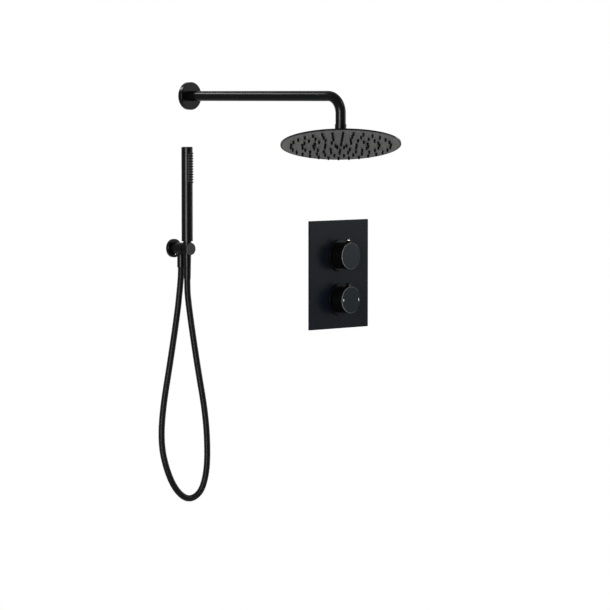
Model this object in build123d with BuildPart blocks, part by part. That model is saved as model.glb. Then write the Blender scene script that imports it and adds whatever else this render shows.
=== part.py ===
from build123d import *
import math
import os

os.makedirs("parts", exist_ok=True)

# Concealed rain shower set, millimetres. The finished wall is the plane Y = 0, the room is on
# the -Y side, X runs right as seen from the room and Z up. The origin is the arm's axis at the wall.

# Fits shared by all groups
slip = 0.1
thread_fit = 0.05
running_fit = 0.05
moving_gap = 0.3
cut_over = 1

# Arm
arm_reach = 462
arm_d = 21.6
arm_bore_d = 15
arm_bend_r = 36
tail_d = 20.96
tail_in_wall = 14
tail_out_of_wall = 2
nut_top_drop = 58
spigot_d = 18.6
spigot_len = 10

arm_flange_d = 60
arm_flange_depth = 10
flange_wall = 2.5
flange_face = 4
flange_edge = 0.8
oring_section_r = 1.2
oring_gap = 0.02

# Swivel on the end of the arm
nut_d = 24
nut_chamfer = 0.8
ball_drop = 78
ball_r = 8.5
lip_below_ball = 5
ball_flat = 6
strainer_t = 2
strainer_hole_d = 1.6
strainer_holes = 6
regulator_t = 6
regulator_jet_d = 5
seat_t = 4.5
stem_d = 9
stem_bore_d = 6
stem_collar_d = 16
stem_collar_t = 1.5
stem_washer_t = 1
stem_thread_d = 11
stem_thread_len = 5

# Rain head, turned about the ball; rest_tilt leans its face towards the left front
head_d = 250
hub_drop = 13
hub_d = 26
hub_h = 4
shell_fall = 4
shell_t = 0.8
rim_h = 3
rim_wall = 1
face_t = 1
mat_t = 1
mat_edge = 5
rest_tilt = 15.2
lean_azimuth = 43

ring_shares = (0.828, 0.64, 0.456, 0.272, 0.096)
ring_counts = (30, 25, 20, 10, 5)
nozzle_root_d = 4.8
nozzle_tip_share = 0.72
nozzle_proud = 5.5
nozzle_hole_d = 5.2

spreader_d = 22
spreader_t = 0.8
spreader_slot_w = 4
spreader_slots = 4

# Hand-shower outlet with its holder, on its own wall axis
hand_x = -48
hand_z = -328.5
body_d = 26
body_reach = 60
body_edge = 0.8
outlet_out = 27
holder_out = 47.9
holder_shift = -1.0
nipple_in_wall = 16
nipple_spigot_d = 16
nipple_spigot_len = 15
waterway_d = 10
outlet_flange_d = 40
outlet_flange_depth = 8
outlet_flange_wall = 2
seal_t = 1
body_start = seal_t
mouth_w = 15
liner_t = 1.2
grub_d = 4
grub_len = 5
grub_socket_d = 2
grub_out = outlet_flange_depth + grub_d

# Hose nipple below the outlet, with the nut on it
hose_spigot_d = 12
hose_spigot_bore_d = 7
hose_spigot_up = 5
hose_spigot_down = 11
check_valve_len = 8
hose_nut_d = 16.5
hose_nut_len = 28
washer_t = 2
ferrule_flange_t = 2
ferrule_d = 10.4
ferrule_bore_d = 8
nut_edge = 0.8

# Conical nut at the hand-shower end
cone_above = 14.5
cone_below = 65
cone_top_d = 19
cone_seat_d = 16.8
cone_foot_d = 14.6
tail_thread_d = 13
tail_thread_len = 12.5
tail_bore_d = 7

# Handset
handset_d = 24.4
handset_wall = 1.5
handset_foot = 16.5
handset_top = 219.5
cap_h = 4
cap_bevel = 1.4
cap_plug_h = 4
neck_d = 17.2
tail_plug_h = 8
insert_w = 13
insert_len = 69
insert_top_gap = 10.5
insert_sunk = 0.2
insert_t = 2.6
channel_d = 14
channel_bore_d = 10
jet_rows = 12
jet_row_share = 0.0816
jet_reach_share = 0.35
jet_d = 1.7
jet_hole_d = 2.0
jet_proud = 2.0
pad_t = 1.2

# Hose route, points set by hand from the photograph
hose_d = 14
hose_route = [
    (-48, -27, -369.5), (-48, -27, -385.5), (-52, -28, -412), (-60.5, -29, -466), (-84, -32, -568),
    (-111, -35, -676), (-117, -37, -748), (-103, -39, -804), (-78.5, -41, -850), (-43, -42, -875),
    (-8.5, -44, -863), (8, -45, -826), (12, -46, -774), (4.5, -48, -692), (-22.5, -50, -580),
    (-42, -49, -474), (-48, -48, -430), (-49, -47.9, -410.5), (-49, -47.9, -393.5),
]
arc_share = 0.45

# Valve trim: plate and two knobs
valve_x = 461.5
valve_z = -405.5
plate_w = 188
plate_h = 247
plate_t = 6
plate_skin = 2
gasket_t = 1
gasket_w = 6
gasket_inset = 0.5
upper_knob_z = 43
lower_knob_z = -57
plate_hole_d = 40
collar_d = 73
collar_t = 5
collar_bore_d = 26
collar_edge = 0.8
sleeve_fit = 0.5
sleeve_wall = 2.5
sleeve_back = 3
knob_d = 60
knob_gap = 1.5
knob_reach = 38
knob_wall = 3
knob_face = 4
knob_edge = 0.8
boss_d = 24
boss_len = 16
adapter_d = 18
adapter_len = 18
spindle_d = 8
spindle_back = 30
spindle_front = 33
button_w = 9
button_depth = 9
button_behind_face = 4.5
button_proud = 8
button_foot = 1.1
button_foot_t = 1.8
button_side_gap = 0.2
button_edge = 0.6
spring_d = 5
spring_wire_d = 0.9
spring_turns = 4

# Concealed valve
carrier_margin = 16
carrier_t = 3
block_w = 48
block_h = 158
block_front = 18
block_back = 62
block_edge = 6
chamber_d = 44
chamber_front = 4
chamber_bore_d = 32
chamber_floor = 6
cartridge_neck_d = 20
cartridge_neck_front = 6
cartridge_nut_back = 8
port_boss_d = 28
port_reach = 46
port_bore_d = 18.6
port_depth = 15
port_way_d = 12
check_len = 12
stop_ring_d = 30
stop_ring_t = 3
stop_tab_w = 6
stop_tab_h = 3
bracket_w = 106
bracket_h = 196
bracket_t = 4
bracket_corner_r = 8
bracket_hole_d = 6.4
bracket_pitch_x = 84
bracket_pitch_z = 174
screw_d = 4
screw_head_d = 8
screw_head_t = 2.2
screw_pitch_x = 36
screw_pitch_z = 34
screw_len = 28


def on_wall(x, z):
    # Plane on the finished wall whose normal points into the room
    return Plane(origin=(x, 0, z), x_dir=(1, 0, 0), z_dir=(0, -1, 0))


def wall_section(x, z):
    # Half-section of what is turned about a wall axis: X runs out of the wall, Y up
    return Plane(origin=(x, 0, z), x_dir=(0, -1, 0), z_dir=(-1, 0, 0))


def wall_axis(x, z):
    return Axis((x, 0, z), (0, -1, 0))


def level(x, y, z):
    # Horizontal plane at a height, its normal up
    return Plane(origin=(x, y, z), x_dir=(1, 0, 0), z_dir=(0, 0, 1))


# Arm tube: wall tail, straight run, bend and the turned spigot under the nut
arm_wall = on_wall(0, 0)
with BuildPart() as arm_tube:
    with BuildLine(Plane.YZ) as arm_path:
        run = Line((0, 0), (arm_bend_r - arm_reach, 0))
        bend = JernArc(start=run @ 1, tangent=run % 1, radius=arm_bend_r, arc_size=90)
        Line(bend @ 1, (-arm_reach, -nut_top_drop))
    with BuildSketch(arm_wall):
        Circle(arm_d / 2)
    sweep()
    with BuildSketch(arm_wall.offset(-tail_in_wall)):
        Circle(tail_d / 2)
    extrude(amount=tail_in_wall)
    with BuildSketch(level(0, -arm_reach, -nut_top_drop - spigot_len)):
        Circle(spigot_d / 2)
    extrude(amount=spigot_len)
    with BuildSketch(arm_wall.offset(-tail_in_wall)):
        Circle(arm_d / 2)
        Circle(tail_d / 2, mode=Mode.SUBTRACT)
    extrude(amount=tail_in_wall + tail_out_of_wall, mode=Mode.SUBTRACT)
    with BuildSketch(arm_wall):
        Circle(arm_bore_d / 2)
    sweep(path=arm_path.wire(), mode=Mode.SUBTRACT)
    with BuildSketch(arm_wall.offset(-tail_in_wall)):
        Circle(arm_bore_d / 2)
    extrude(amount=tail_in_wall, mode=Mode.SUBTRACT)
    with BuildSketch(level(0, -arm_reach, -nut_top_drop - spigot_len)):
        Circle(arm_bore_d / 2)
    extrude(amount=spigot_len, mode=Mode.SUBTRACT)
arm_tube.part.label = "arm_tube"
export_step(arm_tube.part, "parts/arm_tube.step")

# Cover flange against the wall, open at the back, with an O-ring on the tube
with BuildPart() as arm_flange:
    with BuildSketch(arm_wall):
        Circle(arm_flange_d / 2)
    extrude(amount=arm_flange_depth)
    chamfer(arm_flange.edges().filter_by(GeomType.CIRCLE).sort_by(Axis.Y)[0], flange_edge)
    with BuildSketch(arm_wall):
        Circle(arm_flange_d / 2 - flange_wall)
    extrude(amount=arm_flange_depth - flange_face, mode=Mode.SUBTRACT)
    with BuildSketch(arm_wall):
        Circle(arm_d / 2 + slip)
    extrude(amount=arm_flange_depth, mode=Mode.SUBTRACT)
arm_flange.part.label = "arm_flange"
export_step(arm_flange.part, "parts/arm_flange.step")

oring_centre_r = arm_d / 2 + oring_section_r + oring_gap
oring_out = arm_flange_depth - flange_face - oring_section_r - oring_gap
with BuildPart() as arm_flange_oring:
    with BuildSketch(wall_section(0, 0)):
        with Locations((oring_out, oring_centre_r)):
            Circle(oring_section_r)
    revolve(axis=wall_axis(0, 0))
arm_flange_oring.part.label = "arm_flange_oring"
export_step(arm_flange_oring.part, "parts/arm_flange_oring.step")

# Swivel nut on the spigot; its spherical lip carries the ball
spout = (0, -arm_reach)
ball_centre = Vector(0, -arm_reach, -ball_drop)
spigot_end_z = -nut_top_drop - spigot_len
nut_foot_z = -ball_drop - lip_below_ball
with BuildPart() as swivel_nut:
    with BuildSketch(level(*spout, nut_foot_z)):
        Circle(nut_d / 2)
    extrude(amount=-nut_top_drop - nut_foot_z)
    chamfer(swivel_nut.edges().filter_by(GeomType.CIRCLE).sort_by(Axis.Z)[0], nut_chamfer)
    with BuildSketch(level(*spout, -ball_drop)):
        Circle(spigot_d / 2 + thread_fit)
    extrude(amount=ball_drop - nut_top_drop, mode=Mode.SUBTRACT)
    with Locations(ball_centre):
        Sphere(ball_r + running_fit, mode=Mode.SUBTRACT)
swivel_nut.part.label = "swivel_nut"
export_step(swivel_nut.part, "parts/swivel_nut.step")

with BuildPart() as inlet_strainer:
    with BuildSketch(level(*spout, spigot_end_z - strainer_t)):
        Circle(spigot_d / 2)
        with PolarLocations(spigot_d / 4, strainer_holes):
            Circle(strainer_hole_d / 2, mode=Mode.SUBTRACT)
        Circle(strainer_hole_d / 2, mode=Mode.SUBTRACT)
    extrude(amount=strainer_t)
inlet_strainer.part.label = "inlet_strainer"
export_step(inlet_strainer.part, "parts/inlet_strainer.step")

with BuildPart() as flow_regulator:
    with BuildSketch(level(*spout, spigot_end_z)):
        Circle(arm_bore_d / 2 - slip)
        Circle(regulator_jet_d / 2, mode=Mode.SUBTRACT)
    extrude(amount=regulator_t)
flow_regulator.part.label = "flow_regulator"
export_step(flow_regulator.part, "parts/flow_regulator.step")

# Ball seat, which spins with the ball under the strainer
seat_top_z = spigot_end_z - strainer_t - slip
with BuildPart() as ball_seat:
    with BuildSketch(level(*spout, seat_top_z - seat_t)):
        Circle(spigot_d / 2 + thread_fit - running_fit - slip)
        Circle(stem_bore_d / 2, mode=Mode.SUBTRACT)
    extrude(amount=seat_t)
    with Locations(ball_centre):
        Sphere(ball_r + running_fit, mode=Mode.SUBTRACT)
ball_seat.part.label = "ball_seat"
export_step(ball_seat.part, "parts/ball_seat.step")

# Head frame: the tilt axis is level and the face leans out by rest_tilt
tilt_axis = Vector(math.cos(math.radians(lean_azimuth)), -math.sin(math.radians(lean_azimuth)), 0)
head_down = Vector(0, 0, -1).rotate(Axis((0, 0, 0), tuple(tilt_axis)), -rest_tilt)
head_plane = Plane(origin=ball_centre, x_dir=tilt_axis, z_dir=head_down)
head_section = Plane(origin=ball_centre, x_dir=tilt_axis, z_dir=tilt_axis.cross(head_down))
head_axis = Axis(tuple(ball_centre), tuple(head_down))

collar_foot = hub_drop - stem_washer_t
with BuildPart() as ball_stem:
    with BuildSketch(head_plane.offset(0)):
        Circle(stem_d / 2)
    extrude(amount=hub_drop)
    with Locations(ball_centre):
        Sphere(ball_r)
    with BuildSketch(head_plane.offset(collar_foot - stem_collar_t)):
        Circle(stem_collar_d / 2)
    extrude(amount=stem_collar_t)
    with BuildSketch(head_plane.offset(collar_foot)):
        Circle(stem_thread_d / 2)
    extrude(amount=stem_washer_t + stem_thread_len)
    with BuildSketch(head_plane.offset(-ball_flat)):
        Circle(ball_r + cut_over)
    extrude(amount=-ball_r, mode=Mode.SUBTRACT)
    with BuildSketch(head_plane.offset(-ball_flat)):
        Circle(stem_bore_d / 2)
    extrude(amount=ball_flat + hub_drop + stem_thread_len, mode=Mode.SUBTRACT)
ball_stem.part.label = "ball_stem"
export_step(ball_stem.part, "parts/ball_stem.step")

with BuildPart() as stem_washer:
    with BuildSketch(head_plane.offset(collar_foot)):
        Circle(stem_collar_d / 2)
        Circle(stem_thread_d / 2 + slip, mode=Mode.SUBTRACT)
    extrude(amount=stem_washer_t)
stem_washer.part.label = "stem_washer"
export_step(stem_washer.part, "parts/stem_washer.step")

# Head shell: hub, shallow cone and rolled rim, turned about the head axis
head_r = head_d / 2
cone_top = hub_drop + hub_h
rim_top = cone_top + shell_fall
rim_foot = rim_top + rim_h
chamber_r = head_r - rim_wall
with BuildPart() as head_shell:
    with BuildSketch(head_section):
        with BuildLine():
            Polyline(
                (stem_thread_d / 2 + thread_fit, hub_drop),
                (hub_d / 2, hub_drop),
                (hub_d / 2, cone_top),
                (head_r, rim_top),
                (head_r, rim_foot),
                (chamber_r, rim_foot),
                (chamber_r, rim_top + shell_t),
                (hub_d / 2, cone_top + shell_t),
                (stem_thread_d / 2 + thread_fit, cone_top + shell_t),
                close=True,
            )
        make_face()
    revolve(axis=head_axis)
head_shell.part.label = "head_shell"
export_step(head_shell.part, "parts/head_shell.step")

# Face plate with a hole for every nozzle, and the silicone mat behind it
face_top = rim_foot - face_t
mat_top = face_top - mat_t
with BuildPart() as head_face:
    with BuildSketch(head_plane.offset(face_top)):
        Circle(chamber_r - slip)
        for share, count in zip(ring_shares, ring_counts):
            with PolarLocations(share * head_r, count, start_angle=90):
                Circle(nozzle_hole_d / 2, mode=Mode.SUBTRACT)
    extrude(amount=face_t)
head_face.part.label = "head_face"
export_step(head_face.part, "parts/head_face.step")

with BuildPart() as nozzle_mat:
    with BuildSketch(head_plane.offset(mat_top)):
        Circle(ring_shares[0] * head_r + mat_edge)
    extrude(amount=mat_t)
    nozzle_len = face_t + nozzle_proud
    nozzle_taper = math.degrees(math.atan(nozzle_root_d / 2 * (1 - nozzle_tip_share) / nozzle_len))
    with BuildSketch(head_plane.offset(face_top)):
        for share, count in zip(ring_shares, ring_counts):
            with PolarLocations(share * head_r, count, start_angle=90):
                Circle(nozzle_root_d / 2)
    extrude(amount=nozzle_len, taper=nozzle_taper)
nozzle_mat.part.label = "nozzle_mat"
export_step(nozzle_mat.part, "parts/nozzle_mat.step")

# Inverted cup under the inlet that spreads the flow over the mat
spreader_top = cone_top + shell_t + spreader_t
with BuildPart() as flow_spreader:
    with BuildSketch(head_plane.offset(spreader_top)):
        Circle(spreader_d / 2)
    extrude(amount=mat_top - spreader_top)
    with BuildSketch(head_plane.offset(spreader_top + spreader_t)):
        Circle(spreader_d / 2 - spreader_t)
    extrude(amount=mat_top - spreader_top, mode=Mode.SUBTRACT)
    with BuildSketch(head_plane.offset(spreader_top + spreader_t)):
        with PolarLocations(spreader_d / 2, spreader_slots):
            Rectangle(spreader_slot_w, spreader_slot_w)
    extrude(amount=mat_top - spreader_top, mode=Mode.SUBTRACT)
flow_spreader.part.label = "flow_spreader"
export_step(flow_spreader.part, "parts/flow_spreader.step")

# Hand-shower outlet: wall nipple, flange, seal, and the body with the slotted holder
hand_wall = on_wall(hand_x, hand_z)
with BuildPart() as wall_nipple:
    with BuildSketch(hand_wall.offset(-nipple_in_wall)):
        Circle(tail_d / 2)
    extrude(amount=nipple_in_wall)
    with BuildSketch(hand_wall):
        Circle(nipple_spigot_d / 2)
    extrude(amount=body_start + nipple_spigot_len)
    with BuildSketch(hand_wall.offset(-nipple_in_wall)):
        Circle(waterway_d / 2)
    extrude(amount=nipple_in_wall + body_start + nipple_spigot_len, mode=Mode.SUBTRACT)
wall_nipple.part.label = "wall_nipple"
export_step(wall_nipple.part, "parts/wall_nipple.step")

with BuildPart() as outlet_flange:
    with BuildSketch(hand_wall.offset(seal_t)):
        Circle(outlet_flange_d / 2)
    extrude(amount=outlet_flange_depth - seal_t)
    chamfer(outlet_flange.edges().filter_by(GeomType.CIRCLE).sort_by(Axis.Y)[0], flange_edge)
    with BuildSketch(hand_wall.offset(seal_t)):
        Circle(outlet_flange_d / 2 - outlet_flange_wall)
    extrude(amount=outlet_flange_depth - seal_t - outlet_flange_wall, mode=Mode.SUBTRACT)
    with BuildSketch(hand_wall.offset(seal_t)):
        Circle(body_d / 2 + slip)
    extrude(amount=outlet_flange_depth, mode=Mode.SUBTRACT)
outlet_flange.part.label = "outlet_flange"
export_step(outlet_flange.part, "parts/outlet_flange.step")

with BuildPart() as outlet_seal:
    with BuildSketch(hand_wall):
        Circle(outlet_flange_d / 2 - flange_edge)
        Circle(nipple_spigot_d / 2 + slip, mode=Mode.SUBTRACT)
    extrude(amount=seal_t)
outlet_seal.part.label = "outlet_seal"
export_step(outlet_seal.part, "parts/outlet_seal.step")

body_r = body_d / 2
holder_x = hand_x + holder_shift
# The seat is a cone that follows the nut standing in it
seat_top_r = cone_top_d / 2 + moving_gap
seat_foot_r = cone_seat_d / 2 + moving_gap
spigot_top_z = hand_z - body_r + hose_spigot_up
with BuildPart() as outlet_body:
    with BuildSketch(hand_wall.offset(body_start)):
        Circle(body_r)
    extrude(amount=body_reach - body_start)
    chamfer(outlet_body.edges().filter_by(GeomType.CIRCLE).sort_by(Axis.Y)[0], body_edge)
    with BuildSketch(hand_wall.offset(body_start)):
        Circle(nipple_spigot_d / 2 + slip)
    extrude(amount=nipple_spigot_len, mode=Mode.SUBTRACT)
    with BuildSketch(hand_wall.offset(body_start)):
        Circle(waterway_d / 2)
    extrude(amount=outlet_out - body_start + waterway_d / 2, mode=Mode.SUBTRACT)
    with BuildSketch(level(hand_x, -outlet_out, hand_z - body_r)):
        Circle(hose_spigot_d / 2 + thread_fit)
    extrude(amount=hose_spigot_up, mode=Mode.SUBTRACT)
    with BuildSketch(level(hand_x, -outlet_out, hand_z - body_r)):
        Circle(hose_spigot_bore_d / 2)
    extrude(amount=body_r, mode=Mode.SUBTRACT)
    with BuildSketch(level(holder_x, -holder_out, hand_z + body_r)):
        Circle(seat_top_r + liner_t)
    with BuildSketch(level(holder_x, -holder_out, hand_z - body_r)):
        Circle(seat_foot_r + liner_t)
    loft(mode=Mode.SUBTRACT)
    with BuildSketch(level(holder_x, -holder_out, hand_z - body_r)):
        with Locations((-body_r, 0)):
            Rectangle(body_d, mouth_w)
    extrude(amount=body_d, mode=Mode.SUBTRACT)
    with BuildSketch(level(hand_x, -grub_out, hand_z - body_r)):
        Circle(grub_d / 2 + thread_fit)
    extrude(amount=body_r - nipple_spigot_d / 2, mode=Mode.SUBTRACT)
outlet_body.part.label = "outlet_body"
export_step(outlet_body.part, "parts/outlet_body.step")

# Nylon liner, a cone split along the mouth
with BuildPart() as holder_liner:
    with BuildSketch(level(holder_x, -holder_out, hand_z + body_r)):
        Circle(seat_top_r + liner_t)
    with BuildSketch(level(holder_x, -holder_out, hand_z - body_r)):
        Circle(seat_foot_r + liner_t)
    loft()
    with BuildSketch(level(holder_x, -holder_out, hand_z + body_r)):
        Circle(seat_top_r)
    with BuildSketch(level(holder_x, -holder_out, hand_z - body_r)):
        Circle(seat_foot_r)
    loft(mode=Mode.SUBTRACT)
    with BuildSketch(level(holder_x, -holder_out, hand_z - body_r)):
        with Locations((-body_r, 0)):
            Rectangle(body_d, mouth_w)
    extrude(amount=body_d, mode=Mode.SUBTRACT)
    with BuildSketch(hand_wall):
        Circle(body_r)
    extrude(amount=body_reach, mode=Mode.INTERSECT)
holder_liner.part.label = "holder_liner"
export_step(holder_liner.part, "parts/holder_liner.step")

with BuildPart() as outlet_grub_screw:
    with BuildSketch(level(hand_x, -grub_out, hand_z - nipple_spigot_d / 2 - grub_len)):
        Circle(grub_d / 2)
        RegularPolygon(grub_socket_d / 2, 6, mode=Mode.SUBTRACT)
    extrude(amount=grub_len - slip)
outlet_grub_screw.part.label = "outlet_grub_screw"
export_step(outlet_grub_screw.part, "parts/outlet_grub_screw.step")

# Nipple, check valve, nut, washer and ferrule at the lower outlet
body_foot_z = hand_z - body_r
spigot_foot_z = body_foot_z - hose_spigot_down
ferrule_top_z = spigot_foot_z - washer_t
nut_foot_of_hose_z = body_foot_z - hose_nut_len
with BuildPart() as hose_spigot:
    with BuildSketch(level(hand_x, -outlet_out, spigot_foot_z)):
        Circle(hose_spigot_d / 2)
        Circle(hose_spigot_bore_d / 2, mode=Mode.SUBTRACT)
    extrude(amount=hose_spigot_down + hose_spigot_up)
hose_spigot.part.label = "hose_spigot"
export_step(hose_spigot.part, "parts/hose_spigot.step")

with BuildPart() as outlet_check_valve:
    with BuildSketch(level(hand_x, -outlet_out, spigot_foot_z)):
        Circle(hose_spigot_bore_d / 2 - slip)
        Circle(hose_spigot_bore_d / 6, mode=Mode.SUBTRACT)
    extrude(amount=check_valve_len)
outlet_check_valve.part.label = "outlet_check_valve"
export_step(outlet_check_valve.part, "parts/outlet_check_valve.step")

with BuildPart() as hose_nut:
    with BuildSketch(level(hand_x, -outlet_out, nut_foot_of_hose_z)):
        Circle(hose_nut_d / 2)
    extrude(amount=hose_nut_len - slip)
    chamfer(hose_nut.edges().filter_by(GeomType.CIRCLE), nut_edge)
    with BuildSketch(level(hand_x, -outlet_out, ferrule_top_z - ferrule_flange_t)):
        Circle(hose_spigot_d / 2 + thread_fit)
    extrude(amount=hose_nut_len, mode=Mode.SUBTRACT)
    with BuildSketch(level(hand_x, -outlet_out, nut_foot_of_hose_z)):
        Circle(ferrule_d / 2 + slip)
    extrude(amount=hose_nut_len, mode=Mode.SUBTRACT)
hose_nut.part.label = "hose_nut"
export_step(hose_nut.part, "parts/hose_nut.step")

with BuildPart() as hose_nut_washer:
    with BuildSketch(level(hand_x, -outlet_out, ferrule_top_z)):
        Circle(hose_spigot_d / 2)
        Circle(hose_spigot_bore_d / 2, mode=Mode.SUBTRACT)
    extrude(amount=washer_t)
hose_nut_washer.part.label = "hose_nut_washer"
export_step(hose_nut_washer.part, "parts/hose_nut_washer.step")

with BuildPart() as outlet_ferrule:
    with BuildSketch(level(hand_x, -outlet_out, nut_foot_of_hose_z)):
        Circle(ferrule_d / 2)
    extrude(amount=ferrule_top_z - nut_foot_of_hose_z)
    with BuildSketch(level(hand_x, -outlet_out, ferrule_top_z - ferrule_flange_t)):
        Circle(hose_spigot_d / 2)
    extrude(amount=ferrule_flange_t)
    with BuildSketch(level(hand_x, -outlet_out, nut_foot_of_hose_z)):
        Circle(ferrule_bore_d / 2)
    extrude(amount=hose_nut_len, mode=Mode.SUBTRACT)
outlet_ferrule.part.label = "outlet_ferrule"
export_step(outlet_ferrule.part, "parts/outlet_ferrule.step")

# Shower hose: straight runs joined by arcs as large as the runs allow
route = [Vector(*point) for point in hose_route]
radii = []
for before, here, after in zip(route, route[1:], route[2:]):
    shorter = min((here - before).length, (after - here).length)
    half_turn = math.radians((here - before).get_angle(after - here)) / 2
    radii.append(arc_share * shorter / math.tan(half_turn))
print("hose radii", [round(radius) for radius in radii])
with BuildPart() as shower_hose:
    with BuildLine() as hose_path:
        FilletPolyline(*route, radius=radii)
    with BuildSketch(Plane(origin=route[0], x_dir=(1, 0, 0), z_dir=(0, 0, -1))):
        Circle(hose_d / 2)
    sweep()
hose_length = hose_path.wire().length
print("hose length", round(hose_length, 1), "volume share",
      round(shower_hose.part.volume / (math.pi * (hose_d / 2) ** 2 * hose_length), 4))
shower_hose.part.label = "shower_hose"
export_step(shower_hose.part, "parts/shower_hose.step")

# Conical nut, standing in the holder
cone_top_z = hand_z + cone_above
cone_foot_z = hand_z - cone_below
tail_foot_z = cone_top_z - tail_thread_len
cone_ferrule_top_z = tail_foot_z - washer_t
with BuildPart() as cone_nut:
    with BuildSketch(level(holder_x, -holder_out, cone_top_z)):
        Circle(cone_top_d / 2)
    with BuildSketch(level(holder_x, -holder_out, body_foot_z)):
        Circle(cone_seat_d / 2)
    loft()
    with BuildSketch(level(holder_x, -holder_out, body_foot_z)):
        Circle(cone_seat_d / 2)
    with BuildSketch(level(holder_x, -holder_out, cone_foot_z)):
        Circle(cone_foot_d / 2)
    loft()
    with BuildSketch(level(holder_x, -holder_out, cone_ferrule_top_z - ferrule_flange_t)):
        Circle(tail_thread_d / 2 + running_fit)
    extrude(amount=cone_above + cone_below, mode=Mode.SUBTRACT)
    with BuildSketch(level(holder_x, -holder_out, cone_foot_z)):
        Circle(ferrule_d / 2 + slip)
    extrude(amount=cone_above + cone_below, mode=Mode.SUBTRACT)
cone_nut.part.label = "cone_nut"
export_step(cone_nut.part, "parts/cone_nut.step")

with BuildPart() as cone_washer:
    with BuildSketch(level(holder_x, -holder_out, cone_ferrule_top_z)):
        Circle(tail_thread_d / 2)
        Circle(tail_bore_d / 2, mode=Mode.SUBTRACT)
    extrude(amount=washer_t - slip)
cone_washer.part.label = "cone_washer"
export_step(cone_washer.part, "parts/cone_washer.step")

with BuildPart() as cone_ferrule:
    with BuildSketch(level(holder_x, -holder_out, cone_foot_z)):
        Circle(ferrule_d / 2)
    extrude(amount=cone_ferrule_top_z - cone_foot_z)
    with BuildSketch(level(holder_x, -holder_out, cone_ferrule_top_z - ferrule_flange_t)):
        Circle(tail_thread_d / 2)
    extrude(amount=ferrule_flange_t)
    with BuildSketch(level(holder_x, -holder_out, cone_foot_z)):
        Circle(ferrule_bore_d / 2)
    extrude(amount=cone_above + cone_below, mode=Mode.SUBTRACT)
cone_ferrule.part.label = "cone_ferrule"
export_step(cone_ferrule.part, "parts/cone_ferrule.step")

# Handset: threaded tail, tube with an oblong window, cap, insert, nozzle pad and channel
handset_r = handset_d / 2
handset_foot_z = hand_z + handset_foot
handset_top_z = hand_z + handset_top
cap_foot_z = handset_top_z - cap_h
handset_inner_r = handset_r - handset_wall
plug_top_z = handset_foot_z + tail_plug_h
with BuildPart() as handset_tail:
    with BuildSketch(level(holder_x, -holder_out, tail_foot_z)):
        Circle(tail_thread_d / 2)
    extrude(amount=tail_thread_len + moving_gap)
    with BuildSketch(level(holder_x, -holder_out, cone_top_z + moving_gap)):
        Circle(neck_d / 2)
    extrude(amount=handset_foot_z - cone_top_z - moving_gap)
    with BuildSketch(level(holder_x, -holder_out, handset_foot_z)):
        Circle(handset_inner_r - slip)
    extrude(amount=tail_plug_h)
    with BuildSketch(level(holder_x, -holder_out, tail_foot_z)):
        Circle(tail_bore_d / 2)
    extrude(amount=cone_above + tail_thread_len + tail_plug_h, mode=Mode.SUBTRACT)
handset_tail.part.label = "handset_tail"
export_step(handset_tail.part, "parts/handset_tail.step")

# The window and its insert share one oblong, drawn on the plane through the handset's axis
insert_centre_z = handset_top_z - insert_top_gap - insert_len / 2
insert_plane = Plane(origin=(holder_x, -holder_out, insert_centre_z), x_dir=(1, 0, 0), z_dir=(0, -1, 0))
with BuildPart() as handset_tube:
    with BuildSketch(level(holder_x, -holder_out, handset_foot_z)):
        Circle(handset_r)
        Circle(handset_inner_r, mode=Mode.SUBTRACT)
    extrude(amount=cap_foot_z - handset_foot_z)
    with BuildSketch(insert_plane):
        SlotOverall(insert_len + 2 * slip, insert_w + 2 * slip, rotation=90)
    extrude(amount=handset_d, mode=Mode.SUBTRACT)
handset_tube.part.label = "handset_tube"
export_step(handset_tube.part, "parts/handset_tube.step")

with BuildPart() as handset_cap:
    with BuildSketch(level(holder_x, -holder_out, cap_foot_z)):
        Circle(handset_r)
    extrude(amount=cap_h)
    chamfer(handset_cap.edges().sort_by(Axis.Z)[-1], cap_bevel)
    with BuildSketch(level(holder_x, -holder_out, cap_foot_z - cap_plug_h)):
        Circle(handset_inner_r - slip)
    extrude(amount=cap_plug_h)
handset_cap.part.label = "handset_cap"
export_step(handset_cap.part, "parts/handset_cap.step")


def jet_places():
    # Rows of four and three by turns, all equally wide
    row_pitch = jet_row_share * insert_len
    row_half = jet_reach_share * insert_w
    for row in range(jet_rows):
        gaps = 3 if row % 2 == 0 else 2
        height = (row - (jet_rows - 1) / 2) * row_pitch
        for column in range(gaps + 1):
            yield ((2 * column / gaps - 1) * row_half, height)


insert_r = handset_r - insert_sunk
insert_back = insert_r - insert_t - insert_sunk
with BuildPart() as spray_insert:
    with BuildSketch(level(holder_x, -holder_out, handset_foot_z)):
        Circle(insert_r)
    extrude(amount=cap_foot_z - handset_foot_z)
    with BuildSketch(insert_plane.offset(insert_back)):
        SlotOverall(insert_len, insert_w, rotation=90)
    extrude(amount=handset_d, mode=Mode.INTERSECT)
    with BuildSketch(insert_plane):
        with Locations(*jet_places()):
            Circle(jet_hole_d / 2)
    extrude(amount=handset_d, mode=Mode.SUBTRACT)
spray_insert.part.label = "spray_insert"
export_step(spray_insert.part, "parts/spray_insert.step")

with BuildPart() as nozzle_pad:
    with BuildSketch(insert_plane.offset(insert_back - pad_t)):
        SlotOverall(insert_len, insert_w, rotation=90)
    extrude(amount=pad_t)
    with BuildSketch(insert_plane.offset(insert_back)):
        with Locations(*jet_places()):
            Circle(jet_d / 2)
    extrude(amount=insert_t + insert_sunk + jet_proud)
nozzle_pad.part.label = "nozzle_pad"
export_step(nozzle_pad.part, "parts/nozzle_pad.step")

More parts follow.
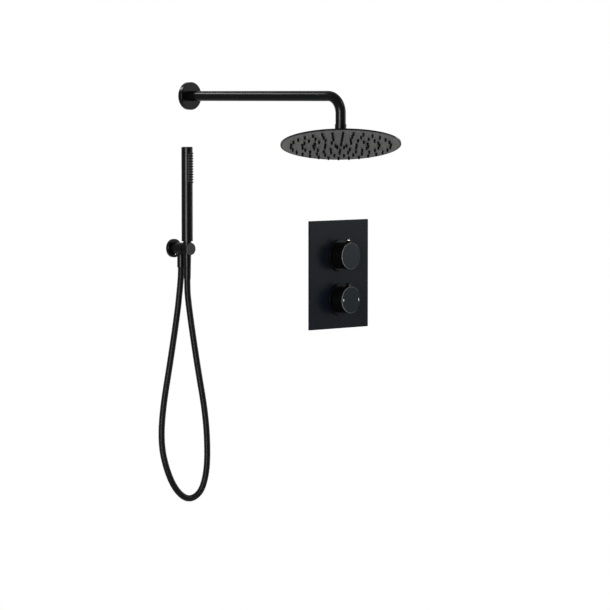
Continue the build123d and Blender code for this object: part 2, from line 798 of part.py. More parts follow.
with BuildPart() as water_channel:
    with BuildSketch(level(holder_x, -holder_out, plug_top_z)):
        Circle(channel_d / 2)
    extrude(amount=cap_foot_z - cap_plug_h - plug_top_z)
    with BuildSketch(level(holder_x, -holder_out, plug_top_z)):
        Circle(channel_bore_d / 2)
    extrude(amount=cap_foot_z - 2 * cap_plug_h - plug_top_z, mode=Mode.SUBTRACT)
    with BuildSketch(insert_plane):
        SlotOverall(insert_len - insert_w, insert_w / 2, rotation=90)
    extrude(amount=handset_d, mode=Mode.SUBTRACT)
water_channel.part.label = "water_channel"
export_step(water_channel.part, "parts/water_channel.step")

# Valve trim: gasket, plate and carrier on the wall
valve_wall = on_wall(valve_x, valve_z)
plate_front = gasket_t + plate_t
knob_heights = {"temperature": upper_knob_z, "diverter": lower_knob_z}
knob_places = [(0, upper_knob_z), (0, lower_knob_z)]
with BuildPart() as plate_gasket:
    with BuildSketch(valve_wall):
        Rectangle(plate_w - 2 * gasket_inset, plate_h - 2 * gasket_inset)
        Rectangle(plate_w - 2 * gasket_w, plate_h - 2 * gasket_w, mode=Mode.SUBTRACT)
    extrude(amount=gasket_t)
plate_gasket.part.label = "plate_gasket"
export_step(plate_gasket.part, "parts/plate_gasket.step")

with BuildPart() as face_plate:
    with BuildSketch(valve_wall.offset(gasket_t)):
        Rectangle(plate_w, plate_h)
    extrude(amount=plate_t)
    with BuildSketch(valve_wall.offset(gasket_t)):
        Rectangle(plate_w - 2 * plate_skin, plate_h - 2 * plate_skin)
    extrude(amount=plate_t - plate_skin, mode=Mode.SUBTRACT)
    with BuildSketch(valve_wall.offset(gasket_t)):
        with Locations(*knob_places):
            Circle(plate_hole_d / 2)
    extrude(amount=plate_t, mode=Mode.SUBTRACT)
face_plate.part.label = "face_plate"
export_step(face_plate.part, "parts/face_plate.step")

# The carrier stands against the inside of the plate, on the four screws
carrier_front = plate_front - plate_skin
screw_z = (upper_knob_z + lower_knob_z) / 2
with BuildPart() as plate_carrier:
    with BuildSketch(valve_wall.offset(carrier_front - carrier_t)):
        Rectangle(plate_w - 2 * carrier_margin, plate_h - 2 * carrier_margin)
        with Locations(*knob_places):
            Circle(plate_hole_d / 2, mode=Mode.SUBTRACT)
        with Locations((0, screw_z)):
            with GridLocations(screw_pitch_x, screw_pitch_z, 2, 2):
                Circle(screw_d / 2 + slip, mode=Mode.SUBTRACT)
    extrude(amount=carrier_t)
    with BuildSketch(valve_wall.offset(carrier_front - screw_head_t)):
        with Locations((0, screw_z)):
            with GridLocations(screw_pitch_x, screw_pitch_z, 2, 2):
                Circle(screw_head_d / 2 + slip)
    extrude(amount=screw_head_t, mode=Mode.SUBTRACT)
plate_carrier.part.label = "plate_carrier"
export_step(plate_carrier.part, "parts/plate_carrier.step")

with BuildPart() as carrier_screws:
    with BuildSketch(valve_wall.offset(carrier_front - screw_head_t)):
        with Locations((0, screw_z)):
            with GridLocations(screw_pitch_x, screw_pitch_z, 2, 2):
                Circle(screw_head_d / 2)
    extrude(amount=screw_head_t - slip)
    with BuildSketch(valve_wall.offset(carrier_front - screw_head_t)):
        with Locations((0, screw_z)):
            with GridLocations(screw_pitch_x, screw_pitch_z, 2, 2):
                Circle(screw_d / 2)
    extrude(amount=-screw_len)
carrier_screws.part.label = "carrier_screws"
export_step(carrier_screws.part, "parts/carrier_screws.step")

# Brass body behind the wall: block, two chambers and the ways out to the four side ports
screw_reach = screw_len + screw_head_t - carrier_front
port_planes = [
    Plane(
        origin=(valve_x, (block_front + block_back) / 2, valve_z + height),
        x_dir=(0, 1, 0),
        z_dir=(side, 0, 0),
    )
    for side in (-1, 1)
    for height in knob_heights.values()
]
with BuildPart() as valve_body:
    with BuildSketch(valve_wall.offset(-block_back)):
        with Locations((0, screw_z)):
            RectangleRounded(block_w, block_h, block_edge)
    extrude(amount=block_back - block_front)
    with BuildSketch(valve_wall.offset(-block_front)):
        with Locations(*knob_places):
            Circle(chamber_d / 2)
    extrude(amount=block_front - chamber_front)
    with BuildSketch(valve_wall.offset(-block_back + chamber_floor)):
        with Locations(*knob_places):
            Circle(chamber_bore_d / 2)
    extrude(amount=block_back, mode=Mode.SUBTRACT)
    for port_plane in port_planes:
        with BuildSketch(port_plane):
            Circle(port_way_d / 2)
        extrude(amount=port_reach, mode=Mode.SUBTRACT)
    with BuildSketch(valve_wall.offset(-block_front)):
        with Locations((0, screw_z)):
            with GridLocations(screw_pitch_x, screw_pitch_z, 2, 2):
                Circle(screw_d / 2 + thread_fit)
    extrude(amount=-(screw_reach - block_front + cut_over), mode=Mode.SUBTRACT)
valve_body.part.label = "valve_body"
export_step(valve_body.part, "parts/valve_body.step")

# Port bosses on the block's sides, two to a side, open at the mouth for a half-inch fitting
with BuildPart() as valve_ports:
    for port_plane in port_planes:
        with BuildSketch(port_plane.offset(block_w / 2)):
            Circle(port_boss_d / 2)
            Circle(port_way_d / 2, mode=Mode.SUBTRACT)
        extrude(amount=port_reach - block_w / 2)
        with BuildSketch(port_plane.offset(port_reach - port_depth)):
            Circle(port_bore_d / 2)
        extrude(amount=port_depth, mode=Mode.SUBTRACT)
valve_ports.part.label = "valve_ports"
export_step(valve_ports.part, "parts/valve_ports.step")

with BuildPart() as mounting_bracket:
    with BuildSketch(valve_wall.offset(-block_back - bracket_t)):
        with Locations((0, screw_z)):
            RectangleRounded(bracket_w, bracket_h, bracket_corner_r)
            with GridLocations(bracket_pitch_x, bracket_pitch_z, 2, 2):
                Circle(bracket_hole_d / 2, mode=Mode.SUBTRACT)
    extrude(amount=bracket_t)
mounting_bracket.part.label = "mounting_bracket"
export_step(mounting_bracket.part, "parts/mounting_bracket.step")

with BuildPart() as inlet_check_valves:
    for side in (-1, 1):
        check_plane = Plane(
            origin=(valve_x, (block_front + block_back) / 2, valve_z + upper_knob_z),
            x_dir=(0, 1, 0),
            z_dir=(side, 0, 0),
        )
        with BuildSketch(check_plane.offset(port_reach - port_depth - check_len)):
            Circle(port_way_d / 2 - slip)
            Circle(port_way_d / 6, mode=Mode.SUBTRACT)
        extrude(amount=check_len)
inlet_check_valves.part.label = "inlet_check_valves"
export_step(inlet_check_valves.part, "parts/inlet_check_valves.step")

with BuildPart() as cartridge_nuts:
    with BuildSketch(valve_wall.offset(-cartridge_nut_back)):
        with Locations(*knob_places):
            Circle(chamber_bore_d / 2 - thread_fit)
            Circle(cartridge_neck_d / 2 + slip, mode=Mode.SUBTRACT)
    extrude(amount=cartridge_nut_back)
cartridge_nuts.part.label = "cartridge_nuts"
export_step(cartridge_nuts.part, "parts/cartridge_nuts.step")

collar_front = plate_front + collar_t
knob_back = collar_front + knob_gap
knob_front = plate_front + knob_reach
boss_back = knob_front - knob_face - boss_len
adapter_back = knob_front - knob_face - adapter_len
button_out = knob_front - button_behind_face - button_depth / 2
knob_r = knob_d / 2
sleeve_r = plate_hole_d / 2 - sleeve_fit

for name, height in knob_heights.items():
    knob_z = valve_z + height
    knob_wall_plane = on_wall(valve_x, knob_z)

    # Cartridge in its chamber, its neck through the nut
    with BuildPart() as cartridge:
        with BuildSketch(knob_wall_plane.offset(chamber_floor - block_back)):
            Circle(chamber_bore_d / 2 - slip)
        extrude(amount=block_back - chamber_floor - cartridge_nut_back)
        with BuildSketch(knob_wall_plane.offset(-cartridge_nut_back)):
            Circle(cartridge_neck_d / 2)
        extrude(amount=cartridge_nut_back + cartridge_neck_front)
        with BuildSketch(knob_wall_plane.offset(-spindle_back)):
            Circle(spindle_d / 2 + running_fit)
        extrude(amount=spindle_back + cartridge_neck_front, mode=Mode.SUBTRACT)
    cartridge.part.label = f"{name}_cartridge"
    export_step(cartridge.part, f"parts/{name}_cartridge.step")

    # Collar on the plate, with the sleeve that clamps the plate to the cartridge nut
    with BuildPart() as collar:
        with BuildSketch(knob_wall_plane.offset(plate_front)):
            Circle(collar_d / 2)
        extrude(amount=collar_t)
        chamfer(collar.edges().filter_by(GeomType.CIRCLE).sort_by(Axis.Y)[0], collar_edge)
        with BuildSketch(knob_wall_plane.offset(-sleeve_back)):
            Circle(sleeve_r)
        extrude(amount=plate_front + sleeve_back)
        with BuildSketch(knob_wall_plane.offset(-sleeve_back)):
            Circle(sleeve_r - sleeve_wall)
        extrude(amount=plate_front + sleeve_back, mode=Mode.SUBTRACT)
        with BuildSketch(knob_wall_plane.offset(plate_front)):
            Circle(collar_bore_d / 2)
        extrude(amount=collar_t, mode=Mode.SUBTRACT)
    collar.part.label = f"{name}_collar"
    export_step(collar.part, f"parts/{name}_collar.step")

    # Knob: a cup with a boss for the adapter and a pocket for the button at 12 o'clock
    with BuildPart() as knob:
        with BuildSketch(knob_wall_plane.offset(knob_back)):
            Circle(knob_r)
        extrude(amount=knob_front - knob_back)
        chamfer(knob.edges().filter_by(GeomType.CIRCLE).sort_by(Axis.Y)[0], knob_edge)
        with BuildSketch(knob_wall_plane.offset(knob_back)):
            Circle(knob_r - knob_wall)
        extrude(amount=knob_front - knob_face - knob_back, mode=Mode.SUBTRACT)
        with BuildSketch(knob_wall_plane.offset(boss_back)):
            Circle(boss_d / 2)
        extrude(amount=boss_len)
        with BuildSketch(knob_wall_plane.offset(boss_back)):
            Circle(adapter_d / 2 + slip)
        extrude(amount=boss_len, mode=Mode.SUBTRACT)
        with BuildSketch(level(valve_x, -button_out, knob_z + boss_d / 2)):
            Rectangle(button_w + 2 * button_side_gap, button_depth + 2 * button_side_gap)
        extrude(amount=knob_r, mode=Mode.SUBTRACT)
        with BuildSketch(level(valve_x, -(boss_back + grub_d), knob_z - knob_r)):
            Circle(grub_d / 2 + thread_fit)
        extrude(amount=knob_r - adapter_d / 2, mode=Mode.SUBTRACT)
    knob.part.label = f"{name}_knob"
    export_step(knob.part, f"parts/{name}_knob.step")

    with BuildPart() as adapter:
        with BuildSketch(knob_wall_plane.offset(adapter_back)):
            Circle(adapter_d / 2)
        extrude(amount=adapter_len)
        with BuildSketch(knob_wall_plane.offset(adapter_back)):
            Circle(spindle_d / 2 + thread_fit)
        extrude(amount=spindle_front - adapter_back, mode=Mode.SUBTRACT)
    adapter.part.label = f"{name}_adapter"
    export_step(adapter.part, f"parts/{name}_adapter.step")

    with BuildPart() as spindle:
        with BuildSketch(knob_wall_plane.offset(running_fit - spindle_back)):
            Circle(spindle_d / 2)
        extrude(amount=spindle_back + spindle_front - running_fit)
    spindle.part.label = f"{name}_spindle"
    export_step(spindle.part, f"parts/{name}_spindle.step")

    with BuildPart() as knob_grub_screw:
        with BuildSketch(level(valve_x, -(boss_back + grub_d), knob_z - adapter_d / 2 - grub_len)):
            Circle(grub_d / 2)
            RegularPolygon(grub_socket_d / 2, 6, mode=Mode.SUBTRACT)
        extrude(amount=grub_len - slip)
    knob_grub_screw.part.label = f"{name}_grub_screw"
    export_step(knob_grub_screw.part, f"parts/{name}_grub_screw.step")

    # Button: the foot under the knob's wall keeps it in, the coil spring pushes it out
    foot_half = button_w / 2 + button_foot
    foot_top = math.sqrt((knob_r - knob_wall) ** 2 - foot_half**2) - button_side_gap
    button_foot_z = knob_z + foot_top - button_foot_t
    with BuildPart() as button:
        with BuildSketch(level(valve_x, -button_out, button_foot_z)):
            Rectangle(button_w, button_depth)
        extrude(amount=knob_z + knob_r + button_proud - button_foot_z)
        fillet(button.edges().group_by(Axis.Z)[-1], button_edge)
        with BuildSketch(level(valve_x, -button_out, button_foot_z)):
            Rectangle(2 * foot_half, button_depth)
        extrude(amount=button_foot_t)
    button.part.label = f"{name}_button"
    export_step(button.part, f"parts/{name}_button.step")

    spring_foot_z = knob_z + boss_d / 2
    spring_len = button_foot_z - spring_foot_z
    with BuildPart() as button_spring:
        coil_r = (spring_d - spring_wire_d) / 2
        coil_h = spring_len - spring_wire_d - 2 * oring_gap
        coil_foot = spring_foot_z + spring_wire_d / 2 + oring_gap
        with BuildLine(Plane(origin=(valve_x, -button_out, coil_foot), z_dir=(0, 0, 1))):
            coil = Helix(pitch=coil_h / spring_turns, height=coil_h, radius=coil_r)
        with BuildSketch(Plane(origin=coil @ 0, z_dir=coil % 0)):
            Circle(spring_wire_d / 2)
        sweep(is_frenet=True)
    button_spring.part.label = f"{name}_button_spring"
    export_step(button_spring.part, f"parts/{name}_button_spring.step")

# Stop ring of the temperature knob, on the cartridge neck
with BuildPart() as temperature_stop_ring:
    ring_plane = on_wall(valve_x, valve_z + upper_knob_z)
    with BuildSketch(ring_plane):
        Circle(stop_ring_d / 2)
        with Locations((0, -stop_ring_d / 2)):
            Rectangle(stop_tab_w, stop_tab_h)
        Circle(cartridge_neck_d / 2 + slip, mode=Mode.SUBTRACT)
    extrude(amount=stop_ring_t)
temperature_stop_ring.part.label = "temperature_stop_ring"
export_step(temperature_stop_ring.part, "parts/temperature_stop_ring.step")
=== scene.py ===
import math

import bpy
from mathutils import Matrix, Vector


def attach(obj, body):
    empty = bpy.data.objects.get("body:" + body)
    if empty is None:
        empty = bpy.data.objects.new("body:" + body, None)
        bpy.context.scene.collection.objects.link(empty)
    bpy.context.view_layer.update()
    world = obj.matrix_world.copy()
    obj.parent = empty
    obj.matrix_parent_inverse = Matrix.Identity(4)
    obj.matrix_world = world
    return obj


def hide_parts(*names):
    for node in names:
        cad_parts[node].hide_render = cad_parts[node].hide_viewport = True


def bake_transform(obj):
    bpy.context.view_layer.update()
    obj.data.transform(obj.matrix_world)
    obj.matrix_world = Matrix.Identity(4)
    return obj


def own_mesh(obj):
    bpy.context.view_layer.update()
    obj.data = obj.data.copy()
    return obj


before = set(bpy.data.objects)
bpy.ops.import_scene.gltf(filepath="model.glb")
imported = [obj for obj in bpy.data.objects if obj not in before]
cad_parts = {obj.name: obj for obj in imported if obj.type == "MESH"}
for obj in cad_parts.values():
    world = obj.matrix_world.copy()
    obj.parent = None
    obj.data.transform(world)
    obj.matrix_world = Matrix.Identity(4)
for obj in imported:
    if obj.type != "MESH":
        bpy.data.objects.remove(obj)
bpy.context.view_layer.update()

scene = bpy.context.scene
scene.view_settings.view_transform = "Standard"
print("frame loaded:", len(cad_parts), "pieces")

# Camera at the photograph's viewing angle

camera = {"place": (-4.657459, -5.015192, 0.0), "lens": 185.6656, "sensor": 36,
          "pitch": 86.1992, "turn": -45.0, "near": 0.1, "far": 80}

cameraData = bpy.data.cameras.new("camera")
cameraData.sensor_width = camera["sensor"]
cameraData.lens = camera["lens"]
cameraData.clip_start, cameraData.clip_end = camera["near"], camera["far"]
cameraObject = bpy.data.objects.new("camera", cameraData)
cameraObject.location = camera["place"]
cameraObject.rotation_euler = (math.radians(camera["pitch"]), 0, math.radians(camera["turn"]))
scene.collection.objects.link(cameraObject)
scene.camera = cameraObject
print("camera set")


# Node trees, for finishes and for shapes

class Wire:
    # one socket, so that sums on it can be written as sums
    def __init__(self, bench, socket):
        self.bench, self.socket = bench, socket

    def sum(self, operation, first, second):
        return self.bench.add("ShaderNodeMath", {"operation": operation}, {0: first, 1: second})

    def __add__(self, other):
        return self.sum("ADD", self, other)

    def __radd__(self, other):
        return self.sum("ADD", other, self)

    def __sub__(self, other):
        return self.sum("SUBTRACT", self, other)

    def __rsub__(self, other):
        return self.sum("SUBTRACT", other, self)

    def __mul__(self, other):
        return self.sum("MULTIPLY", self, other)

    def __rmul__(self, other):
        return self.sum("MULTIPLY", other, self)

    def __truediv__(self, other):
        return self.sum("DIVIDE", self, other)

    def __pow__(self, other):
        return self.sum("POWER", self, other)

    def __lt__(self, other):
        return self.sum("LESS_THAN", self, other)

    def sine(self):
        return self.sum("SINE", self, 0.0)

    def size(self):
        return self.sum("ABSOLUTE", self, 0.0)


class Bench:
    # a node tree in the making; every node of it comes from add()
    def __init__(self, tree):
        self.tree = tree

    def add(self, kind, settings=None, inputs=None, output=0):
        node = self.tree.nodes.new(kind)
        for name, value in (settings or {}).items():
            setattr(node, name, value)
        for key, value in (inputs or {}).items():
            if isinstance(value, list):
                for wire in value:
                    self.tree.links.new(wire.socket, node.inputs[key])
            elif isinstance(value, Wire):
                self.tree.links.new(value.socket, node.inputs[key])
            else:
                node.inputs[key].default_value = value
        return Wire(self, node.outputs[output]) if len(node.outputs) else None

    def blend(self, share, first, second):
        # colours are mixed here, never in a Math node: 6, 7 and 2 are the Mix node's colour sockets
        return self.add("ShaderNodeMix", {"data_type": "RGBA"}, {0: share, 6: first, 7: second}, 2)

    def noise(self, where, scale, detail=2.0, roughness=0.5):
        return self.add("ShaderNodeTexNoise", {}, {
            "Vector": where, "Scale": scale, "Detail": detail, "Roughness": roughness})

    def vector(self, operation, first, second=(0, 0, 0), output=0):
        return self.add("ShaderNodeVectorMath", {"operation": operation}, {0: first, 1: second}, output)

    def bump(self, height, strength, distance, invert=False):
        return self.add("ShaderNodeBump", {"invert": invert}, {
            "Strength": strength, "Distance": distance, "Height": height})


def colour(red, green, blue):
    return (red, green, blue, 1)


def finishBench(name):
    made = bpy.data.materials.new(name)
    made.use_nodes = True
    made.node_tree.nodes.clear()
    bench = Bench(made.node_tree)
    return made, bench, bench.add("ShaderNodeTexCoord", {}, {}, "Object")


def closeFinish(bench, surface):
    bench.add("ShaderNodeOutputMaterial", {}, {"Surface": surface})


def closePrincipled(bench, sockets):
    closeFinish(bench, bench.add("ShaderNodeBsdfPrincipled", {}, sockets))


# the mean of a noise texture, so that a shift by it leaves the middle value alone
noiseMean = 0.5


def satinCoat(name, look):
    # a sprayed or plated satin coat: fine orange peel, soft patches in its sheen
    made, bench, where = finishBench(name)
    peel = bench.noise(where, look["peelScale"], detail=3.0, roughness=0.6)
    patches = bench.noise(where, look["patchScale"], detail=3.0, roughness=0.55)
    base = bench.blend(patches, look["deep"], look["pale"])
    if "front" in look:
        # painted light: the flat front is painted paler than the sides, as if it caught more light, and
        # its chamfer palest, as a painted highlight
        depth = bench.add("ShaderNodeSeparateXYZ", {}, {0: where}, "Y")
        base = bench.blend(depth < look["front"] + look["chamfer"], base, look["chamferPaintedHighlight"])
        base = bench.blend(depth < look["front"] + look["frontMargin"], base, look["frontPaintedLight"])
    if "rimRadius" in look:
        # the rolled rim of a round face, darker than the face
        away = bench.vector("SUBTRACT", where, look["centre"])
        reach = bench.vector("LENGTH", bench.vector("CROSS_PRODUCT", away, look["axis"]), output="Value")
        base = bench.blend(reach < look["rimRadius"], look["rimShade"], base)
    rough = (look["roughness"] + look["sheenShift"] * (patches - noiseMean)
             + look["grainShift"] * (peel - noiseMean))
    bump = bench.bump(peel, look["peelStrength"], look["peelDepth"])
    closePrincipled(bench, {"Base Color": base, "Roughness": rough,
                            "Specular IOR Level": look["shine"], "Normal": bump})
    return made


def mouldedPlastic(name, look):
    # moulded plastic or rubber: spark-eroded grain, a little cloudy
    made, bench, where = finishBench(name)
    grain = bench.noise(where, look["grainScale"], detail=4.0, roughness=0.7)
    clouds = bench.noise(where, look["cloudScale"])
    cloudShare = 0.7
    base = bench.blend(clouds * cloudShare + grain * (1 - cloudShare), look["deep"], look["pale"])
    rough = look["roughness"] + look["grainShift"] * (grain - noiseMean)
    bump = bench.bump(grain, look["grainStrength"], look["grainDepth"])
    closePrincipled(bench, {"Base Color": base, "Roughness": rough,
                            "Specular IOR Level": look["shine"], "Normal": bump})
    return made


def turnedMetal(name, look):
    # machined metal: tool lines across it, and patches where it has dulled
    made, bench, where = finishBench(name)
    along = bench.vector("MULTIPLY", where, look["lineRun"])
    lines = bench.noise(along, look["lineScale"], detail=3.0, roughness=0.7)
    dull = bench.noise(where, look["dullScale"], detail=4.0, roughness=0.6)
    base = bench.blend(dull, look["bright"], look["dull"])
    rough = (look["roughness"] + look["lineShift"] * (lines - noiseMean)
             + look["dullShift"] * (dull - noiseMean))
    bump = bench.bump(lines, look["lineStrength"], look["lineDepth"])
    closePrincipled(bench, {"Base Color": base, "Metallic": 1.0, "Roughness": rough, "Normal": bump})
    return made


def closedFoam(name, look):
    # cut foam: open cells on the cut face
    made, bench, where = finishBench(name)
    cells = bench.add("ShaderNodeTexVoronoi", {"feature": "DISTANCE_TO_EDGE"}, {
        "Vector": where, "Scale": look["cellScale"]})
    base = bench.blend(cells * look["cellContrast"], look["deep"], look["pale"])
    bump = bench.bump(cells, look["cellStrength"], look["cellDepth"], invert=True)
    closePrincipled(bench, {"Base Color": base, "Roughness": look["roughness"], "Normal": bump})
    return made


# The rain head's centre, and the way it faces at rest
head = {"centre": (0, -0.462, -0.078), "tilt": 15.2, "lean": 43.0}
lean, tilt = math.radians(head["lean"]), math.radians(head["tilt"])
headDown = Vector((-math.sin(lean) * math.sin(tilt), -math.cos(lean) * math.sin(tilt), -math.cos(tilt)))

satinBlack = {"deep": colour(0.0006, 0.0006, 0.0007), "pale": colour(0.0012, 0.0012, 0.0014),
              "patchScale": 14.0, "peelScale": 1900.0, "roughness": 0.22, "sheenShift": 0.06,
              "grainShift": 0.04, "peelStrength": 0.2, "peelDepth": 0.00002, "shine": 0.045}
# the rain head's face is painted paler than the other satin black parts, partly its own tone and partly
# painted light for the light its downward face catches from below
faceBlackWithPaintedLight = {"deep": colour(0.024, 0.024, 0.0236), "pale": colour(0.034, 0.0337, 0.0325),
             "patchScale": 22.0, "peelScale": 1900.0, "roughness": 0.52, "sheenShift": 0.08,
             "grainShift": 0.08, "peelStrength": 0.3, "peelDepth": 0.00003, "shine": 0.14,
             "centre": head["centre"], "axis": headDown, "rimRadius": 0.1215,
             "rimShade": colour(0.001, 0.001, 0.001)}
plateBlack = {**satinBlack, "deep": colour(0.0014, 0.0021, 0.0036),
              "pale": colour(0.0024, 0.0033, 0.0050), "roughness": 0.3, "shine": 0.036}
# the knob's front face is painted paler and its chamfer painted as a pale ring: painted light and a
# painted highlight
knobBlackWithPaintedLight = {**satinBlack, "front": -0.045, "frontMargin": 0.00005, "chamfer": 0.0009,
             "frontPaintedLight": colour(0.0034, 0.0056, 0.0070), "chamferPaintedHighlight": colour(0.06, 0.063, 0.065)}
# the outlet's front face is likewise painted paler, with a painted highlight on its chamfer
outletBlackWithPaintedLight = {**knobBlackWithPaintedLight, "front": -0.060, "frontPaintedLight": colour(0.011, 0.011, 0.011),
               "chamferPaintedHighlight": colour(0.03, 0.03, 0.03)}
blackPlastic = {"deep": colour(0.009, 0.009, 0.0095), "pale": colour(0.014, 0.014, 0.0145),
                "grainScale": 2600.0, "cloudScale": 60.0, "roughness": 0.5, "grainShift": 0.12,
                "grainStrength": 0.4, "grainDepth": 0.00003, "shine": 0.1}
blackSilicone = {"deep": colour(0.0006, 0.0006, 0.0006), "pale": colour(0.0014, 0.0014, 0.0014),
                 "grainScale": 1400.0, "cloudScale": 300.0, "roughness": 0.56, "grainShift": 0.12,
                 "grainStrength": 0.3, "grainDepth": 0.00003, "shine": 0.008}
blackHose = {"deep": colour(0.0008, 0.0008, 0.0009), "pale": colour(0.0016, 0.0016, 0.0018),
             "patchScale": 40.0, "peelScale": 2400.0, "roughness": 0.26, "sheenShift": 0.1,
             "grainShift": 0.06, "peelStrength": 0.25, "peelDepth": 0.00002, "shine": 0.055}
nitrile = {"deep": colour(0.03, 0.03, 0.03), "pale": colour(0.05, 0.05, 0.048),
           "grainScale": 1800.0, "cloudScale": 200.0, "roughness": 0.6, "grainShift": 0.1,
           "grainStrength": 0.3, "grainDepth": 0.00004, "shine": 0.35}
acetal = {"deep": colour(0.70, 0.70, 0.68), "pale": colour(0.78, 0.78, 0.76),
          "grainScale": 1500.0, "cloudScale": 90.0, "roughness": 0.42, "grainShift": 0.1,
          "grainStrength": 0.2, "grainDepth": 0.00003, "shine": 0.4}
rawBrass = {"bright": colour(0.66, 0.49, 0.22), "dull": colour(0.42, 0.29, 0.12),
            "lineRun": (1, 0.06, 1), "lineScale": 900.0, "dullScale": 55.0, "roughness": 0.34,
            "lineShift": 0.16, "dullShift": 0.22, "lineStrength": 0.35, "lineDepth": 0.00004}
platedSteel = {"bright": colour(0.60, 0.61, 0.63), "dull": colour(0.42, 0.43, 0.44),
               "lineRun": (1, 1, 0.04), "lineScale": 1500.0, "dullScale": 70.0, "roughness": 0.32,
               "lineShift": 0.2, "dullShift": 0.14, "lineStrength": 0.3, "lineDepth": 0.00003}
greyFoam = {"deep": colour(0.13, 0.13, 0.13), "pale": colour(0.24, 0.24, 0.24), "cellScale": 900.0,
            "cellContrast": 2.4, "cellStrength": 0.6, "cellDepth": 0.0002, "roughness": 0.85}
whiteMark = {"deep": colour(0.62, 0.62, 0.61), "pale": colour(0.72, 0.72, 0.71),
             "grainScale": 3000.0, "cloudScale": 400.0, "roughness": 0.45, "grainShift": 0.1,
             "grainStrength": 0.2, "grainDepth": 0.00001, "shine": 0.4}
greyMark = {**whiteMark, "deep": colour(0.036, 0.036, 0.036), "pale": colour(0.05, 0.05, 0.05)}

finishes = {
    "matte_black": satinCoat("satin_black", satinBlack),
    "black_plastic": mouldedPlastic("moulded_black", blackPlastic),
    "black_silicone": mouldedPlastic("black_silicone_rubber", blackSilicone),
    "black_hose": satinCoat("coated_hose", blackHose),
    "fibre": mouldedPlastic("nitrile_rubber", nitrile),
    "white_plastic": mouldedPlastic("white_acetal", acetal),
    "raw_brass": turnedMetal("machined_brass", rawBrass),
    "steel": turnedMetal("plated_steel", platedSteel),
    "grey_foam": closedFoam("closed_cell_foam", greyFoam),
}
markPaint = mouldedPlastic("white_mark", whiteMark)
linePaint = mouldedPlastic("grey_mark", greyMark)
knobCoatWithPaintedLight = satinCoat("satin_black_knob", knobBlackWithPaintedLight)
ownCoats = {"head_face": satinCoat("satin_black_face", faceBlackWithPaintedLight),
            "face_plate": satinCoat("satin_black_plate", plateBlack),
            "temperature_knob": knobCoatWithPaintedLight, "diverter_knob": knobCoatWithPaintedLight,
            "outlet_body": satinCoat("satin_black_outlet", outletBlackWithPaintedLight)}

for name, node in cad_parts.items():
    for index, material in enumerate(node.data.materials):
        node.data.materials[index] = finishes[material.name.split(".")[0]]
for name, coat in ownCoats.items():
    for index in range(len(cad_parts[name].data.materials)):
        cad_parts[name].data.materials[index] = coat
print("finishes on", len(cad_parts), "pieces")


def meshFrom(name, points, faces):
    mesh = bpy.data.meshes.new(name)
    mesh.from_pydata([tuple(point) for point in points], [], faces)
    mesh.update()
    piece = bpy.data.objects.new(name, mesh)
    scene.collection.objects.link(piece)
    return piece


def shapeTree(name, sizes):
    # a Geometry Nodes tree with one named input for each size
    tree = bpy.data.node_groups.new(name, "GeometryNodeTree")
    tree.interface.new_socket("Geometry", in_out="INPUT", socket_type="NodeSocketGeometry")
    sockets = {"Geometry": 0}
    for label, (kind, value) in sizes.items():
        made = tree.interface.new_socket(label, in_out="INPUT", socket_type=kind)
        if kind in ("NodeSocketFloat", "NodeSocketInt"):
            made.default_value = value
        sockets[label] = made.identifier
    tree.interface.new_socket("Geometry", in_out="OUTPUT", socket_type="NodeSocketGeometry")
    bench = Bench(tree)
    source = bench.add("NodeGroupInput").socket.node
    wires = {label: Wire(bench, source.outputs[label]) for label in sockets}
    return tree, bench, wires, sockets


def grow(piece, tree, sockets, sizes):
    # runs the tree on the piece and keeps the result as the piece's own plain mesh
    modifier = piece.modifiers.new(tree.name, "NODES")
    modifier.node_group = tree
    for label, (kind, value) in sizes.items():
        modifier[sockets[label]] = value
    bpy.context.view_layer.update()
    evaluated = piece.evaluated_get(bpy.context.evaluated_depsgraph_get())
    mesh = bpy.data.meshes.new_from_object(evaluated)
    piece.modifiers.remove(modifier)
    piece.data = mesh
    mesh.name = piece.name


def closeShape(bench, geometry, finish):
    # makes what is instanced real, shades it smooth and gives it its finish
    real = bench.add("GeometryNodeRealizeInstances", {}, {"Geometry": geometry})
    smooth = bench.add("GeometryNodeSetShadeSmooth", {}, {"Geometry": real, "Shade Smooth": True})
    finished = bench.add("GeometryNodeSetMaterial", {}, {"Geometry": smooth, "Material": finish})
    bench.add("NodeGroupOutput", {}, {0: finished})


# Hose: the same control points as the solid's, in metres

hose = {"diameter": 0.0140, "length": 1.0482, "ribPitch": 0.003, "ribDepth": 0.00055, "ribFullness": 0.6,
        "sides": 20, "ringsPerRib": 5, "stillEnd": 0.03,
        "route": [(-0.048, -0.027, -0.3695), (-0.048, -0.027, -0.3855), (-0.052, -0.028, -0.412),
                  (-0.0605, -0.029, -0.466), (-0.084, -0.032, -0.568), (-0.111, -0.035, -0.676),
                  (-0.117, -0.037, -0.748), (-0.103, -0.039, -0.804), (-0.0785, -0.041, -0.850),
                  (-0.043, -0.042, -0.875), (-0.0085, -0.044, -0.863), (0.008, -0.045, -0.826),
                  (0.012, -0.046, -0.774), (0.0045, -0.048, -0.692), (-0.0225, -0.050, -0.580),
                  (-0.042, -0.049, -0.474), (-0.048, -0.048, -0.430), (-0.049, -0.0479, -0.4105),
                  (-0.049, -0.0479, -0.3935)]}


def smoothLine(points, order=3, pointsPerSpan=24):
    # the NURBS line through the route's control points, as a row of close points
    curve = bpy.data.curves.new("hose_line", "CURVE")
    curve.dimensions = "3D"
    curve.resolution_u = pointsPerSpan
    spline = curve.splines.new("NURBS")
    spline.points.add(len(points) - 1)
    for point, place in zip(spline.points, points):
        point.co = (*place, 1)
    spline.order_u = order
    spline.use_endpoint_u = True
    holder = bpy.data.objects.new("hose_line", curve)
    scene.collection.objects.link(holder)
    bpy.context.view_layer.update()
    evaluated = holder.evaluated_get(bpy.context.evaluated_depsgraph_get())
    line = bpy.data.meshes.new_from_object(evaluated)
    row = [vertex.co.copy() for vertex in line.vertices]
    bpy.data.objects.remove(holder)
    bpy.data.curves.remove(curve)
    bpy.data.meshes.remove(line)
    return row


